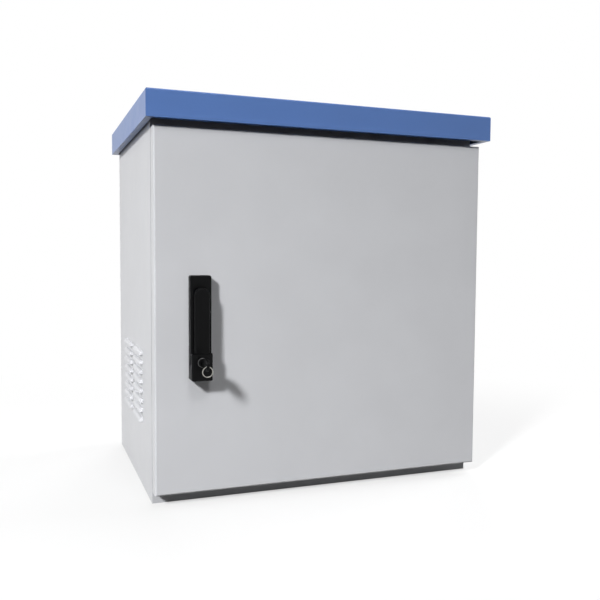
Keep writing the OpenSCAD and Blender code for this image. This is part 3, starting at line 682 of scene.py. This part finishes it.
    def made(self, name: str, points: bpy.types.Mesh, values: dict) -> bpy.types.Object:
        """Run the tree on some points and keep the result as a plain mesh.

        Args:
            name: the new piece's name.
            points: the mesh whose vertices are the places.
            values: the inputs by name.

        Returns:
            The new piece.
        """
        source = added(name + "_places", points)
        modifier = source.modifiers.new("recipe", "NODES")
        modifier.node_group = self.tree
        for item in self.tree.interface.items_tree:
            if item.in_out == "INPUT" and item.name in values:
                modifier[item.identifier] = values[item.name]
        return shown(name, plain(source), self.crease)


def settle(piece: bpy.types.Object, body: Body, slot: Slot, *nodes: str) -> None:
    """Hand a finished piece over: what it rides on and what it stands for.

    Args:
        piece: the piece, in place.
        body: the body it moves with.
        slot: the record's slot of its finish; not used.
        nodes: the CAD nodes that it replaces, if any.
    """
    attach(piece, body.value)
    if nodes:
        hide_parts(*nodes)
    LOG.info("piece %s on %s, %d faces", piece.name, body.value, len(piece.data.polygons))


def merged(node: bpy.types.Object) -> bmesh.types.BMesh:
    """Give a copy of a CAD node's mesh with its loose triangles joined into flat faces."""
    work = bmesh.new()
    work.from_mesh(node.data)
    bmesh.ops.remove_doubles(work, verts=work.verts, dist=MERGE)
    bmesh.ops.dissolve_limit(work, angle_limit=math.radians(FLAT), verts=work.verts, edges=work.edges)
    return work


def solids(node: bpy.types.Object) -> list[Corners]:
    """Find the separate solids of a CAD node.

    Args:
        node: the CAD node.

    Returns:
        The lowest and the highest corner of each solid.
    """
    work = merged(node)
    waiting = set(work.verts)
    found = []
    while waiting:
        group = [waiting.pop()]
        for vert in group:
            near = {edge.other_vert(vert) for edge in vert.link_edges} & waiting
            waiting -= near
            group.extend(near)
        low = Vector([min(v.co[axis] for v in group) for axis in range(3)])
        high = Vector([max(v.co[axis] for v in group) for axis in range(3)])
        found.append((low, high))
    work.free()
    return sorted(found, key=lambda pair: tuple(pair[0]))


@dataclass
class Fasteners(ABC):
    """One kind of fastener in one node: where each sits, how big it is and which way its head points."""

    node: str
    body: Body
    slot: Slot
    head_height: float
    axis: Vector | None = None
    seed: int = 3
    shank_sides: int = 16
    shank_overlap: float = 0.5

    @abstractmethod
    def form(self, radius: float) -> dict[str, float]:
        """Give the sizes that follow from the head's radius."""

    @abstractmethod
    def recipe(self) -> Recipe:
        """Build the tree of the fastener."""

    def axis_at(self, middle: Vector) -> Vector:
        """Give the way that a head points: the fastener's axis, or else inwards along X."""
        return self.axis or Vector((-math.copysign(1.0, middle.x), 0.0, 0.0))

    def points(self, pairs: list[Corners]) -> bpy.types.Mesh:
        """Make a point at each seat, which carries the axis of its fastener.

        Args:
            pairs: the corners of each fastener in the CAD model.

        Returns:
            The mesh of points.
        """
        axes = [self.axis_at((low + high) / 2) for low, high in pairs]
        seats = []
        for (low, high), axis in zip(pairs, axes):
            half = (high - low) / 2
            tip = (low + high) / 2 + axis * abs(half.dot(axis))
            seats.append(tip - axis * self.head_height)
        mesh = dots(self.node + "_seats", seats)
        layer = mesh.attributes.new(AXIS, "FLOAT_VECTOR", "POINT")
        for item, axis in zip(layer.data, axes):
            item.vector = axis
        return mesh

    def sizes(self, pair: Corners) -> tuple[float, float]:
        """Measure a fastener in the CAD model.

        Args:
            pair: its lowest and highest corner.

        Returns:
            The head's radius and the shank's length.
        """
        low, high = pair
        extent = high - low
        axis = self.axis_at((low + high) / 2)
        along = abs(extent.dot(axis))
        across = max(extent[i] for i in range(3) if not round(axis[i]))
        return across / 2, along - self.head_height

    def build(self, shop: Workshop) -> None:
        """Make the node's fasteners as one piece.

        Args:
            shop: the frame and the materials.
        """
        pairs = solids(shop.node(self.node))
        radius, length = self.sizes(pairs[0])
        values = {"Head radius": radius, "Head height": self.head_height, "Shank length": length,
                  "Seed": self.seed, "Finish": shop.wardrobe.materials[self.slot], **self.form(radius)}
        piece = self.recipe().made(self.node + "_detailed", self.points(pairs), values)
        settle(piece, self.body, self.slot, self.node)


@dataclass
class PanScrews(Fasteners):
    """Pan-head screws with a cross recess."""

    head_sides: int = 28
    dome_rings: int = 12
    shank_share: float = 0.5
    rim_share: float = 0.35
    dome_share: float = 0.985
    recess_share: float = 1.15
    blade_share: float = 0.24
    blade_heights: tuple[float, float] = (2.0, 2.1)
    sink_share: float = 0.8

    def form(self, radius: float) -> dict[str, float]:
        """Give the sizes that follow from the head's radius."""
        rim = self.head_height * self.rim_share
        return {"Shank radius": radius * self.shank_share, "Rim height": rim,
                "Dome radius": radius * self.dome_share, "Recess length": radius * self.recess_share,
                "Blade width": radius * self.blade_share, "Sink": rim * self.sink_share}

    def recipe(self) -> Recipe:
        """Build the tree of a domed head on a rim, with two crossed blades cut out and a shank below."""
        recipe = Recipe("pan_screws")
        radius, height, rim, shank, length, sink, dome_radius, recess, blade = recipe.sizes(
            "Head radius", "Head height", "Rim height", "Shank radius", "Shank length", "Sink",
            "Dome radius", "Recess length", "Blade width")
        ball = recipe.result("GeometryNodeMeshUVSphere", {
            "Segments": self.head_sides, "Rings": self.dome_rings, "Radius": 1.0})
        rise = recipe.sum(height, sink, "SUBTRACT")
        dome = recipe.scaled(ball, recipe.vector(X=dome_radius, Y=dome_radius, Z=rise))
        base = recipe.cylinder(self.head_sides, radius, 0.0, rim)
        foot, neck = recipe.sum(length, -1.0), recipe.sum(rim, self.shank_overlap)
        stem = recipe.cylinder(self.shank_sides, shank, foot, neck)
        cutters = []
        for wide, deep, share in zip((recess, blade), (blade, recess), self.blade_heights):
            size = recipe.vector(X=wide, Y=deep, Z=recipe.sum(height, share))
            box = recipe.result("GeometryNodeMeshCube", {"Size": size})
            cutters.append(recipe.lifted(box, recipe.sum(recipe.sum(height, share / 2), sink, "ADD")))
        head = recipe.boolean("UNION", [recipe.lifted(dome, sink), base, stem])
        return recipe.finished(recipe.scattered(recipe.boolean("DIFFERENCE", cutters, head)))


@dataclass
class HexBolts(Fasteners):
    """Hexagon bolts with a chamfered head on a round bearing face."""

    head_sides: int = 6
    shank_share: float = 0.54
    face_sides: int = 32
    face_share: float = 0.14
    face_radius_share: float = 0.82
    face_overlap: float = 1.5
    top_share: float = 0.86
    slope: float = 1.73
    cone_sides: int = 48
    cone_over: float = 0.1

    def form(self, radius: float) -> dict[str, float]:
        """Give the sizes that follow from the head's radius."""
        top = radius * self.top_share
        over = self.head_height * self.cone_over
        return {"Shank radius": radius * self.shank_share, "Face height": self.head_height * self.face_share,
                "Face radius": radius * self.face_radius_share, "Cone drop": -over,
                "Cone height": self.head_height + 2 * over, "Cone tip": top - self.slope * over,
                "Cone foot": top + self.slope * (self.head_height + over)}

    def recipe(self) -> Recipe:
        """Build the tree of a hexagon cut by a wide cone, on a thin round face, with a shank below."""
        recipe = Recipe("hex_bolts")
        radius, height, length, shank, face, face_radius, drop, tall, tip, wide = recipe.sizes(
            "Head radius", "Head height", "Shank length", "Shank radius", "Face height", "Face radius",
            "Cone drop", "Cone height", "Cone tip", "Cone foot")
        cone = recipe.result("GeometryNodeMeshCone", {
            "Vertices": self.cone_sides, "Radius Top": tip, "Radius Bottom": wide, "Depth": tall})
        hexagon = recipe.cylinder(self.head_sides, radius, face, height)
        head = recipe.boolean("INTERSECT", [hexagon, recipe.lifted(cone, drop)])
        plate = recipe.cylinder(self.face_sides, face_radius, 0.0, recipe.sum(face, self.face_overlap))
        foot, neck = recipe.sum(length, -1.0), recipe.sum(face, self.shank_overlap)
        stem = recipe.cylinder(self.shank_sides, shank, foot, neck)
        return recipe.finished(recipe.scattered(recipe.boolean("UNION", [head, plate, stem])))


@dataclass
class DoorSeal:
    """Foam bead poured round the inside of the door, a low dome in section."""

    width: float = 14.0 * MM
    corner: float = 16.0 * MM
    corner_steps: int = 8
    step: float = 6.0 * MM
    section_steps: int = 28
    fullness: float = 0.55
    swell: float = 0.02
    swell_length: float = 45.0 * MM

    def recipe(self) -> Recipe:
        """Build the tree of a dome swept along a rectangle with round corners, slightly swollen in waves."""
        recipe = Recipe("door_seal")
        wide, tall, corner, half, depth, step, full, swell, wave = recipe.sizes(
            "Line width", "Line height", "Corner", "Half width", "Depth", "Step", "Fullness", "Half swell",
            "Wave")
        line = recipe.result("GeometryNodeCurvePrimitiveQuadrilateral", {"Width": wide, "Height": tall})
        line = recipe.result("GeometryNodeFilletCurve", {
            "Curve": line, "Radius": corner, "Count": self.corner_steps}, mode="POLY")
        line = recipe.result("GeometryNodeResampleCurve", {"Curve": line, "Length": step}, mode="LENGTH")
        along = recipe.node("GeometryNodeSplineParameter").outputs["Length"]
        beat = recipe.result("ShaderNodeMath", {0: recipe.sum(along, wave)}, operation="SINE")
        beat = recipe.sum(recipe.sum(beat, 1.0, "SUBTRACT"), swell)
        girth = recipe.sum(beat, 1.0, "ADD")
        line = recipe.result("GeometryNodeSetCurveRadius", {"Curve": recipe.upright(line), "Radius": girth})
        place = recipe.result("GeometryNodeInputPosition")
        parts = recipe.node("ShaderNodeSeparateXYZ", {0: place}).outputs
        rise = recipe.sum(recipe.sum(recipe.sum(parts["Y"], 0.0, "MAXIMUM"), full, "POWER"), depth)
        dome = recipe.vector(X=recipe.sum(parts["X"], half), Y=rise)
        section = recipe.result("GeometryNodeSetPosition", {
            "Geometry": recipe.circle(self.section_steps), "Position": dome})
        bead = recipe.swept(line, section, caps=False)
        return recipe.finished(recipe.on_points(bead, FACING_FRONT))

    def build(self, shop: Workshop) -> None:
        """Lay the bead in the place of the CAD seal.

        Args:
            shop: the frame and the materials.
        """
        low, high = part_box("door_seal")
        start = dots("door_seal_middle", [((low.x + high.x) / 2, low.y, (low.z + high.z) / 2)])
        values = {"Line width": high.x - low.x - self.width, "Line height": high.z - low.z - self.width,
                  "Corner": self.corner, "Half width": self.width / 2, "Depth": high.y - low.y,
                  "Step": self.step, "Fullness": self.fullness, "Half swell": self.swell / 2,
                  "Wave": math.tau / self.swell_length, "Finish": shop.wardrobe.materials[Slot.RUBBER]}
        piece = self.recipe().made("door_seal_bead", start, values)
        settle(piece, Body.DOOR, Slot.RUBBER, "door_seal")


@dataclass
class SoftenedPiece:
    """A CAD piece with its sharp edges broken, as a casting, a stamped part or a cut gasket has them."""

    node: str
    body: Body
    slot: Slot
    edge: float
    steps: int = 2
    edge_angle: float = 32.0
    crease: float = 40.0
    finish: Finish | None = None

    def build(self, shop: Workshop) -> None:
        """Round the edges of a merged copy of the CAD piece.

        Args:
            shop: the frame and the materials.
        """
        work = merged(shop.node(self.node))
        mesh = bpy.data.meshes.new(self.node)
        work.to_mesh(mesh)
        work.free()
        source = added(self.node + "_sharp", mesh)
        bevel = source.modifiers.new("edge", "BEVEL")
        bevel.width = self.edge
        bevel.segments = self.steps
        bevel.limit_method = "ANGLE"
        bevel.angle_limit = math.radians(self.edge_angle)
        piece = shown(self.node + "_softened", plain(source), self.crease)
        shop.wardrobe.dress(piece, self.slot)
        if self.finish:
            piece.data.materials[0] = self.finish.material()
        settle(piece, self.body, self.slot, self.node)


@dataclass
class SplitRing:
    """Sprung key ring: two turns of flat wire side by side."""

    turns: float = 2.0
    turn_steps: int = 64
    section_steps: int = 14
    wire_share: float = 0.33

    def recipe(self) -> Recipe:
        """Build the tree of a flat wire wound along a short helix."""
        recipe = Recipe("split_key_ring")
        wide, thin = recipe.sizes("Wire width", "Wire thickness")
        section = recipe.scaled(recipe.circle(self.section_steps), recipe.vector(X=wide, Y=thin, Z=1.0))
        wire = recipe.swept(recipe.upright(recipe.helix(self.turn_steps)), section)
        return recipe.finished(recipe.on_points(wire, FACING_FRONT))

    def build(self, shop: Workshop) -> None:
        """Wind the ring in the place of the CAD ring.

        Args:
            shop: the frame and the materials.
        """
        low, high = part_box("key_ring")
        middle = (low + high) / 2
        wire = (high.y - low.y) / 2
        thin = wire * self.wire_share
        height = 2 * (wire - thin)
        start = dots("split_key_ring_start", [(middle.x, middle.y + height / 2, middle.z)])
        values = {"Radius": (high.x - low.x) / 2 - wire, "Height": height, "Turns": self.turns,
                  "Wire width": wire, "Wire thickness": thin,
                  "Finish": shop.wardrobe.materials[Slot.NICKEL]}
        piece = self.recipe().made("split_key_ring", start, values)
        settle(piece, Body.LOOP, Slot.NICKEL, "key_ring")


@dataclass
class EarthThread:
    """Rolled thread on the earth stud."""

    stud_radius: float = 4.0 * MM
    pitch: float = 1.25 * MM
    crest: float = 0.6 * MM
    turn_steps: int = 24
    section_steps: int = 4

    def recipe(self) -> Recipe:
        """Build the tree of a four-sided wire along a helix that starts at each point."""
        recipe = Recipe("stud_thread")
        section = recipe.circle(self.section_steps, recipe.size("Crest"))
        wire = recipe.swept(recipe.helix(self.turn_steps), section)
        return recipe.finished(recipe.on_points(wire))

    def build(self, shop: Workshop) -> None:
        """Wind the thread on the stud above its nut.

        Args:
            shop: the frame and the materials.
        """
        _, stud_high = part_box("earth_stud")
        nut_low, nut_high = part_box("earth_nut")
        middle = (nut_low + nut_high) / 2
        height = stud_high.z - nut_high.z - 2 * self.crest
        start = dots("stud_thread_start", [(middle.x, middle.y, nut_high.z + self.crest)])
        values = {"Radius": self.stud_radius - self.crest / 2, "Height": height,
                  "Turns": height / self.pitch, "Crest": self.crest,
                  "Finish": shop.wardrobe.materials[Slot.BRASS]}
        settle(self.recipe().made("earth_stud_thread", start, values), Body.CABINET, Slot.BRASS)


Piece = Fasteners | DoorSeal | SoftenedPiece | SplitRing | EarthThread


class Assembly(ABC):
    """A sub-assembly of the cabinet, which knows the pieces that it is made of."""

    @abstractmethod
    def pieces(self) -> list[Piece]:
        """List the pieces in the order of their making."""

    def build(self, shop: Workshop) -> None:
        """Make and dress every piece."""
        for piece in self.pieces():
            piece.build(shop)


@dataclass
class Carcass(Assembly):
    """Fixed body: rear panel, floor, hood and the fasteners that hold them."""

    screw_head: float = 3.0 * MM
    hood_bolt_head: float = 5.3 * MM
    gasket_edge: float = 0.45 * MM

    def pieces(self) -> list[Piece]:
        """List the body's screws, bolts and floor gasket."""
        return [
            PanScrews("rear_panel_screws", Body.CABINET, Slot.ZINC, self.screw_head, BACK),
            PanScrews("gland_screws", Body.CABINET, Slot.ZINC, self.screw_head, UP),
            HexBolts("hood_bolts", Body.CABINET, Slot.ZINC, self.hood_bolt_head, -UP),
            SoftenedPiece("gland_gasket", Body.CABINET, Slot.RUBBER, self.gasket_edge),
        ]


@dataclass
class Rack(Assembly):
    """Equipment rails on their depth bars."""

    bolt_head: float = 4.0 * MM

    def pieces(self) -> list[Piece]:
        """List the bolts of the rails, whose heads point inwards from both sides."""
        return [HexBolts("rail_bolts", Body.CABINET, Slot.ZINC, self.bolt_head)]


@dataclass
class EarthPoint(Assembly):
    """Earth stud and nut on the floor."""

    nut_edge: float = 0.5 * MM

    def pieces(self) -> list[Piece]:
        """List the stud's thread and the nut."""
        return [EarthThread(), SoftenedPiece("earth_nut", Body.CABINET, Slot.BRASS, self.nut_edge)]


@dataclass
class Door(Assembly):
    """Hinged door: its seal and its hinges."""

    screw_head: float = 3.0 * MM
    hinge_edge: float = 0.4 * MM

    def pieces(self) -> list[Piece]:
        """List the seal, the hinge screws and the hinge halves."""
        screws = PanScrews("hinge_screws", Body.CABINET, Slot.ZINC, self.screw_head, -BACK)
        hinges = [SoftenedPiece(f"{place}_hinge_{half}", body, Slot.ZINC, self.hinge_edge)
                  for place in ("upper", "lower")
                  for half, body in (("bracket", Body.CABINET), ("leaf", Body.DOOR))]
        return [DoorSeal(), screws, *hinges]


@dataclass
class SwingHandle(Assembly):
    """Swing handle: its castings outside the door and its clamp and cam inside."""

    casting_edge: float = 0.6 * MM
    lever_edge: float = 0.4 * MM
    plate_edge: float = 0.4 * MM
    gasket_edge: float = 0.3 * MM
    clamp_screw_head: float = 2.5 * MM
    cam_screw_head: float = 3.5 * MM

    def pieces(self) -> list[Piece]:
        """List the castings, the gasket, the clamp and the cam with their fasteners."""
        return [
            SoftenedPiece("handle_housing", Body.DOOR, Slot.HANDLE, self.casting_edge),
            SoftenedPiece("lever", Body.LEVER, Slot.HANDLE, self.lever_edge),
            SoftenedPiece("handle_gasket", Body.DOOR, Slot.RUBBER, self.gasket_edge),
            SoftenedPiece("handle_clamp", Body.DOOR, Slot.ZINC, self.plate_edge),
            SoftenedPiece("cam", Body.TURNER, Slot.ZINC, self.plate_edge),
            PanScrews("clamp_screws", Body.DOOR, Slot.ZINC, self.clamp_screw_head, BACK),
            HexBolts("cam_screw", Body.TURNER, Slot.ZINC, self.cam_screw_head, BACK),
        ]


@dataclass
class KeyLock(Assembly):
    """Key lock: sleeve, plug, key and ring."""

    rim_edge: float = 0.25 * MM
    plug_edge: float = 0.5 * MM
    key_edge: float = 0.8 * MM

    def pieces(self) -> list[Piece]:
        """List the lock's pieces with broken edges, and the split ring."""
        return [
            SoftenedPiece("lock_barrel", Body.DOOR, Slot.HANDLE, self.rim_edge, finish=LOCK_FINISH),
            SoftenedPiece("lock_plug", Body.LOCK, Slot.HANDLE, self.plug_edge),
            SoftenedPiece("key", Body.LOCK, Slot.HANDLE, self.key_edge),
            SplitRing(),
        ]


@dataclass
class CadLooks:
    """Finishes of the CAD nodes that show as they are."""

    shop: Workshop

    def dress(self) -> None:
        """Give each CAD node the finish of its slot in the record."""
        for row in self.shop.frame["record"]["subparts"]:
            self.shop.wardrobe.dress(self.shop.node(row["node"]), Slot(row["material_slot"]))
            LOG.info("node %s: %s", row["node"], row["material_slot"])


@dataclass(frozen=True)
class Lamp:
    """A soft rectangular lamp that looks at a point."""

    name: str
    place: Place
    aim: Place
    width: float
    height: float
    power: float
    spread: float = 180.0
    glare: bool = True

    def build(self) -> None:
        """Put the lamp in the scene."""
        data = bpy.data.lights.new(self.name, "AREA")
        data.shape = "RECTANGLE"
        data.size = self.width
        data.size_y = self.height
        data.energy = self.power
        data.spread = math.radians(self.spread)
        lamp = added(self.name, data)
        lamp.location = self.place
        lamp.visible_glossy = self.glare
        direction = Vector(self.aim) - Vector(self.place)
        lamp.rotation_euler = direction.to_track_quat("-Z", "Y").to_euler()


LAMPS = [
    Lamp("key_lamp", (-4.43, -3.92, 3.78), (0.0, -0.23, -0.6), 0.75, 0.75, 58.0, 60.0, glare=False),
    Lamp("front_lamp", (-0.2, -2.9, 3.5), (-0.4, -0.23, -0.9), 1.6, 1.2, 4.2, 42.0),
    Lamp("side_lamp", (-2.8, 1.0, 1.1), (-0.3, 0.0, 0.3), 1.8, 1.8, 9.0),
    Lamp("rear_lamp", (1.2, 4.2, 2.6), (0.0, 0.2, 0.3), 3.0, 2.4, 200.0, glare=False),
    Lamp("right_lamp", (4.2, 0.5, 2.6), (0.3, 0.0, 0.3), 2.4, 2.4, 170.0, glare=False),
]


@dataclass
class Studio:
    """Floor, backdrop, lamps and camera."""

    floor_size: float = 14.0
    floor_roughness: float = 0.9
    floor_tone: float = 0.06
    floor_shown: float = 0.72
    floor_white: float = 0.6
    fade_start: float = 0.45
    fade_end: float = 1.3
    world_level: float = 0.07
    world_colour: Colour = (1.0, 0.975, 0.94)
    camera_place: Place = (-0.48806, -1.38731, 0.40970)
    camera_yaw: float = 20.664
    camera_pitch: float = 3.464
    camera_roll: float = 0.3645
    camera_lens: float = 43.485
    sensor: float = 36.0
    lamps: list[Lamp] = field(default_factory=list)

    def build(self) -> None:
        """Make the stage round the cabinet."""
        self.make_floor()
        self.make_world()
        self.make_camera()
        for lamp in self.lamps:
            lamp.build()

    def watched(self, tree: Tree) -> Socket:
        """Find the rays that look at the backdrop: from the camera, off gloss or through glass.

        Args:
            tree: the material's or the world's node tree.

        Returns:
            A socket that is 1 for such rays and 0 for those that only bring light.
        """
        path = tree.node("ShaderNodeLightPath").outputs
        total = path["Is Camera Ray"]
        for kind in ("Is Glossy Ray", "Is Transmission Ray"):
            total = tree.sum(total, path[kind], "MAXIMUM")
        return total

    def make_floor(self) -> None:
        """Make a pale floor that fades to white for the camera and keeps the cabinet's shadow."""
        mesh = bpy.data.meshes.new("floor")
        half = self.floor_size / 2
        corners = [(-half, -half, 0), (half, -half, 0), (half, half, 0), (-half, half, 0)]
        mesh.from_pydata(corners, [], [(0, 1, 2, 3)])
        graph = Graph("floor_white")
        graph.constant(Roughness=self.floor_roughness, Specular_IOR_Level=0.0)
        watched = self.watched(graph)
        graph.coloured(watched, (self.floor_tone,) * 3, (self.floor_shown,) * 3)
        reach = graph.node("ShaderNodeVectorMath", {0: graph.place}, operation="LENGTH").outputs["Value"]
        ends = {"From Min": self.fade_start, "From Max": self.fade_end, "To Min": self.floor_white}
        fade = graph.node("ShaderNodeMapRange", {"Value": reach, **ends}, interpolation_type="SMOOTHSTEP")
        seen = graph.sum(fade.outputs["Result"], watched)
        white = graph.node("ShaderNodeEmission").outputs["Emission"]
        surface = graph.result("ShaderNodeMixShader", {0: seen, 1: graph.shader.outputs["BSDF"], 2: white})
        graph.link(surface, graph.output.inputs["Surface"])
        mesh.materials.append(graph.material)
        added("floor", mesh)

    def make_world(self) -> None:
        """Light the scene from all round, and show plain white to the camera."""
        world = bpy.data.worlds.new("studio")
        bpy.context.scene.world = world
        world.use_nodes = True
        tree = Tree(world.node_tree)
        light = {"Color": (*self.world_colour, 1.0), "Strength": self.world_level}
        soft = tree.result("ShaderNodeBackground", light)
        white = tree.result("ShaderNodeBackground", {"Color": (1.0, 1.0, 1.0, 1.0)})
        surface = tree.result("ShaderNodeMixShader", {0: self.watched(tree), 1: soft, 2: white})
        tree.node("ShaderNodeOutputWorld", {"Surface": surface})

    def make_camera(self) -> None:
        """Stand the camera where the photograph was taken."""
        data = bpy.data.cameras.new("camera")
        data.lens = self.camera_lens
        data.sensor_width = self.sensor
        turn = Matrix.Rotation(math.radians(-self.camera_yaw), 4, "Z")
        tilt = Matrix.Rotation(math.radians(LEVEL - self.camera_pitch), 4, "X")
        roll = Matrix.Rotation(math.radians(self.camera_roll), 4, "Z")
        camera = added("camera", data)
        camera.matrix_world = Matrix.Translation(Vector(self.camera_place)) @ turn @ tilt @ roll
        bpy.context.scene.camera = camera


def main() -> None:
    """Build the cabinet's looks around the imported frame, piece by piece."""
    logging.basicConfig(level=logging.INFO, format="%(name)s %(message)s")
    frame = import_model()
    bpy.context.scene.view_settings.view_transform = "Standard"
    Studio(lamps=LAMPS).build()
    shop = Workshop(frame, Wardrobe())
    CadLooks(shop).dress()
    for assembly in (Carcass(), Rack(), EarthPoint(), Door(), SwingHandle(), KeyLock()):
        assembly.build(shop)


if __name__ == "__main__":
    main()
